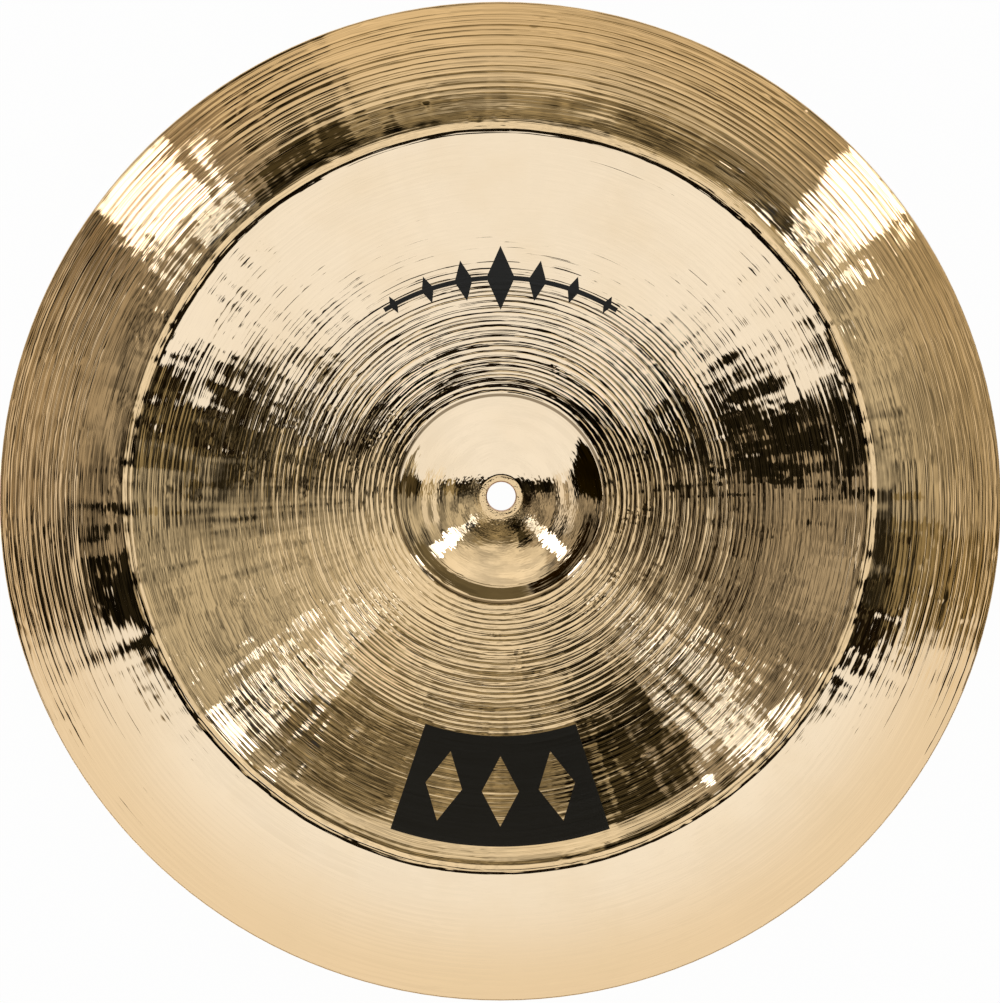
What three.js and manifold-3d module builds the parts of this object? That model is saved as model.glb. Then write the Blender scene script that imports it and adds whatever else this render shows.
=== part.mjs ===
import * as THREE from "three";
import { mergeVertices } from "three/addons/utils/BufferGeometryUtils.js";
import Module from "manifold-3d";

// An 18 inch china cymbal: one disc of bell bronze, cast, rolled, hammered and turned, with a raised bell, a
// bow that falls away from it, a crease, and a flange that curves up again to the rim. Two ink prints lie on
// the bow. Lengths are millimetres and slopes degrees. The bell points to +Z, the axis of the disc is Z, and
// z = 0 is the flat surface that the crease rests on.

const rim = {
  diameter: 457.2,
  edgeRound: 0.35,
};
const hole = {
  diameter: 13,
  deburr: 0.3,
};
const bell = {
  diameter: 94,
  height: 18,
  seatDiameter: 19.4,
  footWidth: 3.5,
};
const bow = {
  degreesAtBell: 5.5,
  degreesAtCrease: 17,
};
const crease = {
  diameter: 341,
  width: 7,
  restLand: 1.2,
};
const flange = {
  degreesAtCrease: 10,
  degreesAtRoot: 22,
  degreesAtRim: 24.5,
  rootShare: 0.4,
};
const thickness = {
  atHole: 1.25,
  atBellFoot: 1.0,
  atCrease: 0.9,
  atRim: 0.7,
};
const ink = {
  thickness: 0.05,
  clearance: 0.05,
};
const upperPrint = {
  radius: 102,
  ruleWidth: 2.2,
  span: 112,
  lozengeWidth: 13,
  lozengeHeight: 30,
  lozengeSpacing: 17,
  sideLozengeShares: [0.64, 0.44, 0.3],
};
const lowerPrint = {
  creaseGap: 9,
  height: 50,
  span: 86,
  lozengeWidth: 17,
  lozengeHeight: 32,
  lozengeSpacing: 26,
};

const turnSteps = 72;
const bellSteps = 8;
const footSteps = 4;
const bowSteps = 8;
const creaseSteps = 2;
const rootSteps = 3;
const flangeSteps = 3;
const edgeSteps = 4;
const printArcSteps = 16;

const tangentOf = (degrees) => Math.tan(THREE.MathUtils.degToRad(degrees));

const bronze = new THREE.MeshStandardMaterial({
  color: 0xe3c48f,
  roughness: 0.16,
  metalness: 1,
});
const blackInk = new THREE.MeshStandardMaterial({
  color: 0x1c1b17,
  roughness: 0.45,
  metalness: 0,
});

// The meridian is the section's upper line, as curves in (radius, height) that run from the hole to the rim
// and meet without a corner, except at the edge of the flat seat round the hole. It starts at height 0.

// A parabola from a point to another radius, whose fall changes steadily from one angle to the other.
function bend(start, startDegrees, endRadius, endDegrees) {
  const middle = (start.x + endRadius) / 2;
  const corner = new THREE.Vector2(middle, start.y - tangentOf(startDegrees) * (middle - start.x));
  const end = new THREE.Vector2(endRadius, corner.y - tangentOf(endDegrees) * (endRadius - middle));
  return new THREE.QuadraticBezierCurve(start, corner, end);
}

// The bell's cap is a ball's, whose size follows from the bell's width and height.
function bellCap(footStart) {
  const footRadius = bell.diameter / 2;
  const ball = (footRadius ** 2 + bell.height ** 2) / (2 * bell.height);
  const seatAngle = Math.acos(bell.seatDiameter / 2 / ball);
  const footAngle = Math.acos(footStart / ball);
  const centre = -ball * Math.sin(seatAngle);
  return new THREE.EllipseCurve(0, centre, ball, ball, seatAngle, footAngle, true);
}

function meridian() {
  const bellRadius = bell.diameter / 2;
  const creaseRadius = crease.diameter / 2;
  const footStart = bellRadius - bell.footWidth / 2;
  const footEnd = bellRadius + bell.footWidth / 2;
  const holeEdge = new THREE.Vector2(hole.diameter / 2, 0);
  const seatEdge = new THREE.Vector2(bell.seatDiameter / 2, 0);
  const seat = new THREE.LineCurve(holeEdge, seatEdge);
  const cap = bellCap(footStart);
  const capTangent = cap.getTangent(1);
  const capDegrees = THREE.MathUtils.radToDeg(Math.atan2(-capTangent.y, capTangent.x));
  const foot = bend(cap.getPoint(1), capDegrees, footEnd, bow.degreesAtBell);
  const creaseStart = creaseRadius - crease.width / 2;
  const creaseEnd = creaseRadius + crease.width / 2;
  const bowLine = bend(foot.v2, bow.degreesAtBell, creaseStart, bow.degreesAtCrease);
  const landStart = creaseRadius - crease.restLand / 2;
  const landEnd = creaseRadius + crease.restLand / 2;
  const creaseIn = bend(bowLine.v2, bow.degreesAtCrease, landStart, 0);
  const land = new THREE.LineCurve(creaseIn.v2, new THREE.Vector2(landEnd, creaseIn.v2.y));
  const creaseOut = bend(land.v2, 0, creaseEnd, -flange.degreesAtCrease);
  const flangeEnd = rim.diameter / 2 - rimOverhang();
  const rootEnd = creaseEnd + (flangeEnd - creaseEnd) * flange.rootShare;
  const root = bend(creaseOut.v2, -flange.degreesAtCrease, rootEnd, -flange.degreesAtRoot);
  const flangeLine = bend(root.v2, -flange.degreesAtRoot, flangeEnd, -flange.degreesAtRim);
  return {
    seat: stations(seat, 1),
    bell: stations(cap, bellSteps),
    foot: stations(foot, footSteps),
    bow: stations(bowLine, bowSteps),
    creaseIn: stations(creaseIn, creaseSteps),
    land: stations(land, 1),
    creaseOut: stations(creaseOut, creaseSteps),
    root: stations(root, rootSteps),
    flange: stations(flangeLine, flangeSteps),
  };
}

// Points along a curve, each with the direction that faces up and out of the metal there.
function stations(curve, steps) {
  const found = [];
  for (let i = 0; i <= steps; i += 1) {
    const tangent = curve.getTangent(i / steps);
    found.push({
      point: curve.getPoint(i / steps),
      normal: new THREE.Vector2(-tangent.y, tangent.x),
    });
  }
  return found;
}

// The metal is thickest at the hole and turned thinner towards the rim, but even on the two flat stretches.
function thicknessAt(radius) {
  const places = [
    [bell.seatDiameter / 2, thickness.atHole],
    [bell.diameter / 2, thickness.atBellFoot],
    [(crease.diameter - crease.restLand) / 2, thickness.atCrease],
    [(crease.diameter + crease.restLand) / 2, thickness.atCrease],
    [rim.diameter / 2, thickness.atRim],
  ];
  for (let i = 1; i < places.length; i += 1) {
    const [start, startThickness] = places[i - 1];
    const [end, endThickness] = places[i];
    if (radius <= end) {
      return THREE.MathUtils.mapLinear(Math.max(radius, start), start, end, startThickness, endThickness);
    }
  }
  return thickness.atRim;
}

const offset = ({ point, normal }, distance) => point.clone().addScaledVector(normal, distance);

// Revolves a closed outline of (radius, height) points round Z. The outline runs outwards along its top.
function turned(outline, height) {
  const placed = outline.map((point) => new THREE.Vector2(point.x, point.y + height)).reverse();
  placed.push(placed[0].clone());
  return new THREE.LatheGeometry(placed, turnSteps).rotateX(Math.PI / 2);
}

// Points round the edge of the metal, from the end of the upper line to that of the underside.
function rimRounding(end) {
  const middle = offset(end, -thickness.atRim / 2);
  const outward = new THREE.Vector2(end.normal.y, -end.normal.x);
  const found = [];
  for (let i = 0; i <= edgeSteps; i += 1) {
    const angle = (Math.PI * i) / edgeSteps;
    const along = (Math.cos(angle) * thickness.atRim) / 2;
    const out = Math.sin(angle) * rim.edgeRound;
    found.push(middle.clone().addScaledVector(end.normal, along).addScaledVector(outward, out));
  }
  return found;
}

// How far the leaning, rounded edge reaches past the end of the upper line.
function rimOverhang() {
  const lean = THREE.MathUtils.degToRad(flange.degreesAtRim);
  const end = {
    point: new THREE.Vector2(),
    normal: new THREE.Vector2(-Math.sin(lean), Math.cos(lean)),
  };
  return Math.max(...rimRounding(end).map((point) => point.x));
}

// The disc

const line = meridian();
const upperStations = Object.values(line).flatMap((stretch, index) =>
  index === 0 ? stretch : stretch.slice(1),
);
const restDrop = offset(line.land[0], -thicknessAt(line.land[0].point.x)).y;

// The upper line, the rounded rim, the underside, and the deburred edges of the hole.
function discOutline() {
  const between = upperStations.slice(1, -1);
  const under = between.map((station) => offset(station, -thicknessAt(station.point.x)));
  const wall = hole.diameter / 2;
  const underSeat = -thickness.atHole;
  return [
    new THREE.Vector2(wall, -hole.deburr),
    new THREE.Vector2(wall + hole.deburr, 0),
    ...between.map((station) => station.point),
    ...rimRounding(upperStations[upperStations.length - 1]),
    ...under.reverse(),
    new THREE.Vector2(wall + hole.deburr, underSeat),
    new THREE.Vector2(wall, underSeat + hole.deburr),
  ];
}

const disc = new THREE.Mesh(turned(discOutline(), -restDrop), bronze);
disc.name = "cymbal_disc";

// The prints: a film that follows the bow, cut to a drawn outline.

const wasm = await Module();
wasm.setup();

function solidOf(geometry) {
  const bare = geometry.clone();
  bare.deleteAttribute("normal");
  bare.deleteAttribute("uv");
  const merged = mergeVertices(bare);
  return new wasm.Manifold(
    new wasm.Mesh({
      numProp: 3,
      vertProperties: new Float32Array(merged.attributes.position.array),
      triVerts: new Uint32Array(merged.index.array),
    }),
  );
}

function geometryOf(solid) {
  const mesh = solid.getMesh();
  const geometry = new THREE.BufferGeometry();
  geometry.setAttribute("position", new THREE.BufferAttribute(mesh.vertProperties, mesh.numProp));
  geometry.setIndex(new THREE.BufferAttribute(mesh.triVerts, 1));
  geometry.computeVertexNormals();
  return geometry;
}

const filmBase = line.bow.map((station) => offset(station, ink.clearance));
const filmTop = line.bow.map((station) => offset(station, ink.clearance + ink.thickness));
const film = solidOf(turned([...filmTop, ...filmBase.reverse()], -restDrop));

// A drawn outline as a prism about z = 0, far deeper than the disc is high, so it cuts through the film.
function prism(shape) {
  const depth = rim.diameter;
  const extruded = new THREE.ExtrudeGeometry(shape, {
    depth,
    bevelEnabled: false,
    curveSegments: printArcSteps,
  });
  return solidOf(extruded.translate(0, 0, -depth / 2));
}

// The angle that an arc of a given length takes at a radius.
const turnAt = (length, radius) => length / radius;

// A stretch of ring about the axis, centred on a bearing.
function ringStretch(innerRadius, outerRadius, halfTurn, bearing) {
  const shape = new THREE.Shape();
  shape.absarc(0, 0, outerRadius, bearing - halfTurn, bearing + halfTurn, false);
  shape.absarc(0, 0, innerRadius, bearing + halfTurn, bearing - halfTurn, true);
  return shape;
}

// A lozenge whose long diagonal is radial.
function lozenge(radius, width, height, bearing, kind = THREE.Shape) {
  const along = new THREE.Vector2(Math.cos(bearing), Math.sin(bearing));
  const across = new THREE.Vector2(-along.y, along.x);
  const middle = along.clone().multiplyScalar(radius);
  const corners = [
    middle.clone().addScaledVector(along, height / 2),
    middle.clone().addScaledVector(across, width / 2),
    middle.clone().addScaledVector(along, -height / 2),
    middle.clone().addScaledVector(across, -width / 2),
  ];
  return new kind(corners);
}

// A thin rule that follows a circle, with a large lozenge on its middle and smaller ones at its sides.
function upperPrintSolid() {
  const bearing = Math.PI / 2;
  const { radius, ruleWidth, span, lozengeWidth, lozengeHeight, lozengeSpacing } = upperPrint;
  const halfTurn = turnAt(span, radius) / 2;
  const rule = ringStretch(radius - ruleWidth / 2, radius + ruleWidth / 2, halfTurn, bearing);
  let drawn = prism(rule).add(prism(lozenge(radius, lozengeWidth, lozengeHeight, bearing)));
  upperPrint.sideLozengeShares.forEach((share, index) => {
    for (const side of [-1, 1]) {
      const place = bearing + side * turnAt(lozengeSpacing * (index + 1), radius);
      drawn = drawn.add(prism(lozenge(radius, lozengeWidth * share, lozengeHeight * share, place)));
    }
  });
  return film.intersect(drawn);
}

// A bold stretch of ring with three lozenges left bare in it.
function lowerPrintSolid() {
  const bearing = -Math.PI / 2;
  const { creaseGap, height, span, lozengeWidth, lozengeHeight, lozengeSpacing } = lowerPrint;
  const outerRadius = (crease.diameter - crease.width) / 2 - creaseGap;
  const innerRadius = outerRadius - height;
  const radius = outerRadius - height / 2;
  const shape = ringStretch(innerRadius, outerRadius, turnAt(span, radius) / 2, bearing);
  for (const place of [-1, 0, 1]) {
    const turn = turnAt(lozengeSpacing, radius) * place;
    shape.holes.push(lozenge(radius, lozengeWidth, lozengeHeight, bearing + turn, THREE.Path));
  }
  return film.intersect(prism(shape));
}

const upper = new THREE.Mesh(geometryOf(upperPrintSolid()), blackInk);
upper.name = "upper_print";
const lower = new THREE.Mesh(geometryOf(lowerPrintSolid()), blackInk);
lower.name = "lower_print";

const cymbal = new THREE.Group();
cymbal.add(disc, upper, lower);

export default cymbal;
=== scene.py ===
import math

import bmesh
import bpy
from mathutils import Matrix, Vector, noise


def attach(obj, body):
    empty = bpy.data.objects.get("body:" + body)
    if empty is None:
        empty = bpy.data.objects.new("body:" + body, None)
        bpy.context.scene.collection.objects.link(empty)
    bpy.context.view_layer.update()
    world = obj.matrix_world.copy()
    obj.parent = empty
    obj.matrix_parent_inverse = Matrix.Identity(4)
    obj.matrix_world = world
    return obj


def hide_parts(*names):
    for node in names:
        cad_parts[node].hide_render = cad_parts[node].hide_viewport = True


# A china cymbal of brilliant bell bronze that lies bell up on a white studio floor, seen from nearly above.

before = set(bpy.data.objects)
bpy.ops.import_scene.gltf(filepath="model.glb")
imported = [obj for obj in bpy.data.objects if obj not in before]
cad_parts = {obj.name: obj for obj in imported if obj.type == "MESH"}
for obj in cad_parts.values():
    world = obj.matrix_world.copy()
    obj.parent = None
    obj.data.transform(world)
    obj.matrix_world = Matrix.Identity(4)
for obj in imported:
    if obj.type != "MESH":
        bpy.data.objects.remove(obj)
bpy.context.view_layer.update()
mm = 0.001
scene = bpy.context.scene
scene.view_settings.view_transform = "Standard"


def linear(hexColour):  # an sRGB hex value as the linear colour that shaders take
    parts = [int(hexColour[i:i + 2], 16) / 255 for i in (1, 3, 5)]
    return tuple(c / 12.92 if c <= 0.04045 else ((c + 0.055) / 1.055) ** 2.4 for c in parts) + (1.0,)


def addNode(tree, kind, settings=None, inputs=None, output=0):
    # inputs are values, or sockets to link from; the socket asked for comes back
    node = tree.nodes.new(kind)
    for name, value in (settings or {}).items():
        setattr(node, name, value)
    for socket, value in (inputs or {}).items():
        if isinstance(value, bpy.types.NodeSocket):
            tree.links.new(value, node.inputs[socket])
        else:
            node.inputs[socket].default_value = value
    return node.outputs[output] if node.outputs else None


# the disc, with the solid's own sizes
disc = {
    "rimDiameter": 457.2 * mm,
    "edgeRound": 0.35 * mm,
    "holeDiameter": 13 * mm,
    "deburr": 0.3 * mm,
    "seatDiameter": 19.4 * mm,
    "bellDiameter": 94 * mm,
    "bellHeight": 18 * mm,
    "footWidth": 3.5 * mm,
    "bowSlopes": (5.5, 17),  # degrees, at the bell and at the crease
    "creaseDiameter": 341 * mm,
    "creaseWidth": 7 * mm,
    "restLand": 1.2 * mm,
    "flangeSlopes": (10, 22, 24.5),  # at the crease, at the root's end and at the rim
    "rootShare": 0.4,
    "thickness": (1.25 * mm, 1.0 * mm, 0.9 * mm, 0.7 * mm),  # hole, bell foot, crease, rim
    "segments": 160,  # steps round the axis
    "topSpacing": 0.54 * mm,  # steps along the profile
    "underSpacing": 1.7 * mm,
    "roundSteps": 8,  # round the rim's edge
    "sharpAngle": 50,  # degrees above which an edge is shaded sharp
}


def bend(start, startSlope, endRadius, endSlope):
    middle = (start[0] + endRadius) / 2
    height = start[1] - math.tan(math.radians(startSlope)) * (middle - start[0])
    end = (endRadius, height - math.tan(math.radians(endSlope)) * (endRadius - middle))

    def at(share):
        a, b, c = (1 - share) ** 2, 2 * share * (1 - share), share ** 2
        point = (a * start[0] + b * middle + c * end[0], a * start[1] + b * height + c * end[1])
        along = (
            (1 - share) * (middle - start[0]) + share * (end[0] - middle),
            (1 - share) * (height - start[1]) + share * (end[1] - height),
        )
        return point, along

    return at, end


def stations(at, length, spacing):
    count = max(1, round(length / spacing))
    found = []
    for i in range(count + 1):
        point, along = at(i / count)
        size = math.hypot(*along)
        found.append((point, (-along[1] / size, along[0] / size)))
    return found


def thicknessAt(radius):
    places = (
        disc["seatDiameter"] / 2,
        disc["bellDiameter"] / 2,
        (disc["creaseDiameter"] - disc["restLand"]) / 2,
        (disc["creaseDiameter"] + disc["restLand"]) / 2,
        disc["rimDiameter"] / 2,
    )
    hole, foot, crease, rim = disc["thickness"]
    values = (hole, foot, crease, crease, rim)
    if radius <= places[0]:
        return hole
    for i in range(1, len(places)):
        if radius <= places[i]:
            share = (radius - places[i - 1]) / (places[i] - places[i - 1])
            return values[i - 1] + (values[i] - values[i - 1]) * share
    return rim


def rimRounding(point, normal):
    thick = disc["thickness"][3]
    found = []
    for i in range(disc["roundSteps"] + 1):
        angle = math.pi * i / disc["roundSteps"]
        along = (math.cos(angle) - 1) * thick / 2
        out = math.sin(angle) * disc["edgeRound"]
        found.append((
            point[0] + normal[0] * along + normal[1] * out,
            point[1] + normal[1] * along - normal[0] * out,
        ))
    return found


def meridian(spacing):
    bellRadius = disc["bellDiameter"] / 2
    ball = (bellRadius ** 2 + disc["bellHeight"] ** 2) / (2 * disc["bellHeight"])
    seatAngle = math.acos(disc["seatDiameter"] / 2 / ball)
    footStart = bellRadius - disc["footWidth"] / 2
    footEnd = bellRadius + disc["footWidth"] / 2
    footAngle = math.acos(footStart / ball)
    centre = -ball * math.sin(seatAngle)

    def cap(share):
        angle = seatAngle + (footAngle - seatAngle) * share
        point = (ball * math.cos(angle), centre + ball * math.sin(angle))
        return point, (math.sin(angle), -math.cos(angle))

    creaseRadius = disc["creaseDiameter"] / 2
    creaseStart = creaseRadius - disc["creaseWidth"] / 2
    creaseEnd = creaseRadius + disc["creaseWidth"] / 2
    bowIn, bowOut = disc["bowSlopes"]
    flangeIn, flangeRoot, flangeOut = disc["flangeSlopes"]
    capEnd, capAlong = cap(1)
    capSlope = math.degrees(math.atan2(-capAlong[1], capAlong[0]))
    foot, footPoint = bend(capEnd, capSlope, footEnd, bowIn)
    bow, bowPoint = bend(footPoint, bowIn, creaseStart, bowOut)
    landStart = creaseRadius - disc["restLand"] / 2
    creaseFall, landPoint = bend(bowPoint, bowOut, landStart, 0)
    land, landEnd = bend(landPoint, 0, landStart + disc["restLand"], 0)
    creaseRise, flangeStart = bend(landEnd, 0, creaseEnd, -flangeIn)
    slope = math.radians(flangeOut)
    overhang = max(p[0] for p in rimRounding((0, 0), (-math.sin(slope), math.cos(slope))))
    flangeEnd = disc["rimDiameter"] / 2 - overhang
    rootEnd = creaseEnd + (flangeEnd - creaseEnd) * disc["rootShare"]
    root, rootPoint = bend(flangeStart, -flangeIn, rootEnd, -flangeRoot)
    flange, _ = bend(rootPoint, -flangeRoot, flangeEnd, -flangeOut)
    top = [((disc["seatDiameter"] / 2, 0), (0, 1))]
    bowStations = []
    for name, curve, length in (
        ("bell", cap, ball * (seatAngle - footAngle)),
        ("foot", foot, math.hypot(footPoint[0] - capEnd[0], footPoint[1] - capEnd[1])),
        ("bow", bow, creaseStart - footEnd),
        ("creaseFall", creaseFall, landStart - creaseStart),
        ("land", land, disc["restLand"]),
        ("creaseRise", creaseRise, creaseEnd - landEnd[0]),
        ("root", root, (rootEnd - creaseEnd) / math.cos(slope)),
        ("flange", flange, (flangeEnd - rootEnd) / math.cos(slope)),
    ):
        found = stations(curve, length, spacing)
        top += found[1:]
        if name == "bow":
            bowStations = found
    drop = landPoint[1] - disc["thickness"][2]
    return top, bowStations, drop


# what the maker's hammer and lathe leave on the metal
handwork = {
    "cutPitch": 4.3 * mm,  # the broad cuts of the lathe
    "cutShare": 0.35,  # how steep these are, as a share of the slopes below
    "pitchDrift": 1.1,  # cuts by which they drift apart or together
    "driftSpan": 2.2,  # cuts over which they do
    "bite": (0.75, 0.9),  # how deep a cut goes, on the whole and as it varies round the axis
    # how steep the lathe leaves the metal, in degrees, by the distance from the axis in mm
    "cutSlopes": (
        (7.2, 2.5), (9.4, 2.5), (10.5, 0.8), (12, 1.2), (22, 1.2), (27, 0.5), (34, 0.5), (37, 1.2), (45.6, 1.6),
        (46.4, 8.0), (48.4, 8.0), (49.4, 5.5), (60, 7.0), (72, 9.0), (98, 9.0), (106, 8.0), (112, 4.5),
        (124, 4.0), (142, 3.6), (158, 3.8), (163, 4.5), (168.6, 4.5), (169.6, 1.0), (170.2, 8.0), (170.8, 8.0),
        (171.4, 1.0), (172.4, 3.0), (175, 1.2), (184, 1.6), (192, 4.5), (206, 6.5), (227, 6.5),
    ),
    "hammerWidth": 15 * mm,
    "hammerDepth": 0.2 * mm,
    "edgeFade": 3 * mm,  # from seat and rim, where the work begins
    "cutsFromCrease": (2 * mm, 5 * mm),
    "hammerFromCrease": (1.5 * mm, 11 * mm),
    "creaseWander": 0.5 * mm,
    "creaseShift": 2.2 * mm,  # the crease was hammered off the centre, towards +Y
    "creaseReach": (3 * mm, 16 * mm),  # how far from the crease the metal goes with it, in full and at all
    "holePolish": (0.5 * mm, 1 * mm),  # from the hole's wall, where the fine cuts begin
    "rimPolish": 1.2 * mm,  # from the rim, where they end
}


def fade(value, low, high):
    share = min(1, max(0, (value - low) / (high - low)))
    return share * share * (3 - 2 * share)


def cutSlopeAt(radius):
    places = handwork["cutSlopes"]
    for (low, lowSlope), (high, highSlope) in zip(places, places[1:]):
        if radius <= high * mm:
            share = max(0, (radius - low * mm) / (high * mm - low * mm))
            return math.radians(lowSlope + (highSlope - lowSlope) * share)
    return math.radians(places[-1][1])


def workAt(radius, bearing, turnedSide):
    # how far the metal stands out along its normal, by lathe cut and by hammer mark
    x, y = math.cos(bearing), math.sin(bearing)
    pitch = handwork["cutPitch"]
    drift = noise.noise(Vector((radius / (handwork["driftSpan"] * pitch), x * 0.5 + 9 * turnedSide, y * 0.5)))
    cuts = radius / pitch + handwork["pitchDrift"] * drift
    across = 2 * (cuts - math.floor(cuts)) - 1  # -1 and 1 at the crests, 0 at the bottom of a cut
    level, change = handwork["bite"]
    bite = level + change * noise.noise(Vector((radius / pitch * 0.8, x * 1.3, y * 1.3 + 4 * turnedSide)))
    cut = across * across * pitch / 4 * math.tan(cutSlopeAt(radius)) * handwork["cutShare"] * bite
    wide = handwork["hammerWidth"]
    hammer = noise.noise(Vector((radius * x / wide, radius * y / wide, 3.1)))
    hammer += 0.6 * noise.noise(Vector((radius * x / wide * 1.9, radius * y / wide * 1.9, 8.3)))
    hammer *= handwork["hammerDepth"] * fade(radius, disc["bellDiameter"] * 0.5, disc["bellDiameter"] * 1.2)
    edges = fade(radius, disc["seatDiameter"] / 2, disc["seatDiameter"] / 2 + handwork["edgeFade"])
    edges *= 1 - fade(radius, disc["rimDiameter"] / 2 - handwork["edgeFade"], disc["rimDiameter"] / 2)
    ring = abs(radius - disc["creaseDiameter"] / 2)  # the crease itself is smooth
    cut *= fade(ring, *handwork["cutsFromCrease"])
    hammer *= fade(ring, *handwork["hammerFromCrease"])
    return edges * (cut + hammer)


def wanderAt(radius, bearing):
    # how far the crease strays from its circle, as hammering left it
    x, y = math.cos(bearing), math.sin(bearing)
    near = 1 - fade(abs(radius - disc["creaseDiameter"] / 2), *handwork["creaseReach"])
    stray = noise.noise(Vector((x * 4, y * 4, 1.7))) + 0.5 * noise.noise(Vector((x * 13, y * 13, 6.2)))
    return near * (handwork["creaseWander"] * stray + handwork["creaseShift"] * y)


def revolve(name, outline, angle, start, steps):
    # outline is a closed loop of (point, normal, side), which is spun about the axis
    shell = bmesh.new()
    out = shell.verts.layers.float_vector.new("out")
    side = shell.verts.layers.float.new("side")
    arc = shell.verts.layers.float.new("arc")
    home = shell.verts.layers.float.new("home")
    loop = []
    length = 0
    for index, (point, normal, turnedSide) in enumerate(outline):
        if index:
            length += math.dist(point, outline[index - 1][0])
        vert = shell.verts.new((point[0] * math.cos(start), point[0] * math.sin(start), point[1]))
        vert[out] = (normal[0], 0, normal[1])
        vert[side] = turnedSide
        vert[arc] = length
        loop.append(vert)
    for i, vert in enumerate(loop):
        shell.edges.new((vert, loop[(i + 1) % len(loop)]))
    whole = abs(angle - math.tau) < 1e-6
    bmesh.ops.spin(
        shell, geom=shell.verts[:] + shell.edges[:], axis=(0, 0, 1), cent=(0, 0, 0),
        angle=angle, steps=steps, use_merge=whole,
    )
    if not whole:
        for bearing in (start, start + angle):
            flat = Vector((-math.sin(bearing), math.cos(bearing), 0))
            ends = [e for e in shell.edges if e.is_boundary and all(
                abs(v.co.dot(flat)) < 1e-7 and v.co.x * math.cos(bearing) + v.co.y * math.sin(bearing) > 0
                for v in e.verts
            )]
            bmesh.ops.contextual_create(shell, geom=ends)
    for vert in shell.verts:
        radius, bearing = math.hypot(vert.co.x, vert.co.y), math.atan2(vert.co.y, vert.co.x)
        vert[home] = radius
        if not vert[side]:
            continue
        work = workAt(radius, bearing, vert[side])
        stray = wanderAt(radius, bearing)
        away = vert[out]
        reach = away[0] * work + stray
        vert.co += Vector((math.cos(bearing) * reach, math.sin(bearing) * reach, away[2] * work))
    bmesh.ops.recalc_face_normals(shell, faces=shell.faces[:])
    for face in shell.faces:
        face.smooth = True
    if whole:
        layBakeMap(shell, arc, length + math.dist(outline[0][0], outline[-1][0]))
    mesh = bpy.data.meshes.new(name)
    shell.to_mesh(mesh)
    shell.free()
    steep = mesh.attributes.new("cutSlope", "FLOAT", "POINT")
    wall, rim = disc["holeDiameter"] / 2, disc["rimDiameter"] / 2
    for value, place in zip(steep.data, mesh.attributes["home"].data):
        turned = fade(place.value, *(wall + polish for polish in handwork["holePolish"]))
        turned *= 1 - fade(place.value, rim - handwork["rimPolish"], rim)
        value.value = math.tan(cutSlopeAt(place.value)) * turned
    piece = bpy.data.objects.new(name, mesh)
    scene.collection.objects.link(piece)
    return piece


bakeMap = {"upper": (0.42, 0.415), "under": (0.84, 0.15)}  # middle and radius of the two islands


def layBakeMap(shell, arc, length):
    # two round islands, the upper side large and the underside small, each laid out from the hole outwards
    uv = shell.loops.layers.uv.new("OFBake")
    rim = max(shell.verts, key=lambda v: math.hypot(v.co.x, v.co.y))[arc]
    for face in shell.faces:
        arcs = [v[arc] for v in face.verts]
        under = max(arcs) > rim * 1.0001 or max(arcs) - min(arcs) > length / 2
        for corner in face.loops:
            along = corner.vert[arc]
            bearing = math.atan2(corner.vert.co.y, corner.vert.co.x)
            middle, radius = bakeMap["under" if under else "upper"]
            if under:
                reach = radius * ((length - along) % length) / (length - rim)
            else:
                reach = radius * along / rim
            corner[uv].uv = (middle + reach * math.cos(bearing), middle + reach * math.sin(bearing))


def discOutline():
    top, _, drop = meridian(disc["topSpacing"])
    sparse, _, _ = meridian(disc["underSpacing"])
    wall = disc["holeDiameter"] / 2
    deburr = disc["deburr"]
    thick = disc["thickness"][0]
    outline = [((wall, -deburr), (-1, 0), 0), ((wall + deburr, 0), (0, 1), 0)]
    outline += [((r, 0), (0, 1), 0) for r in (wall + 2.2 * deburr, disc["seatDiameter"] / 2 - deburr)]
    outline += [(p, n, 1.0) for p, n in top[:-1]]
    outline += [(p, (0, 0), 0) for p in rimRounding(*top[-1])]
    for (r, z), (nr, nz) in reversed(sparse[:-1]):
        t = thicknessAt(r)
        outline.append(((r - nr * t, z - nz * t), (nr, nz), -1.0))
    outline += [((wall + deburr, -thick), (0, -1), 0), ((wall, deburr - thick), (-1, 0), 0)]
    return [((p[0], p[1] - drop), n, s) for p, n, s in outline]


bronzeDisc = revolve("bronzeDisc", discOutline(), math.tau, 0, disc["segments"])
bronzeDisc.data.set_sharp_from_angle(angle=math.radians(disc["sharpAngle"]))
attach(bronzeDisc, "root")
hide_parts("cymbal_disc")
print("disc", len(bronzeDisc.data.polygons), "faces")


# the prints, films that follow the turned surface
film = {
    "thickness": 0.05 * mm,
    "clearance": 0.05 * mm,
    "cutterFoot": -20 * mm,  # the blocks that cut the films to shape: their foot and their height
    "cutterHeight": 100 * mm,
    "cutterSteps": 64,
    "sharpAngle": 40,
}
upperPrint = {
    "bearing": math.pi / 2,
    "radius": 102 * mm,
    "ruleWidth": 2.2 * mm,
    "span": 112 * mm,
    "lozenge": (13 * mm, 30 * mm),
    "spacing": 17 * mm,
    "sideShares": (0.64, 0.44, 0.3),
    "patchShare": 0.6,  # how far the film that it is cut from reaches, as a share of the tallest lozenge
}
lowerPrint = {
    "bearing": -math.pi / 2,
    "outerRadius": (disc["creaseDiameter"] - disc["creaseWidth"]) / 2 - 9 * mm,
    "height": 50 * mm,
    "span": 86 * mm,
    "lozenge": (17 * mm, 32 * mm),
    "spacing": 26 * mm,
    "patchMargin": 2 * mm,
}


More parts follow.
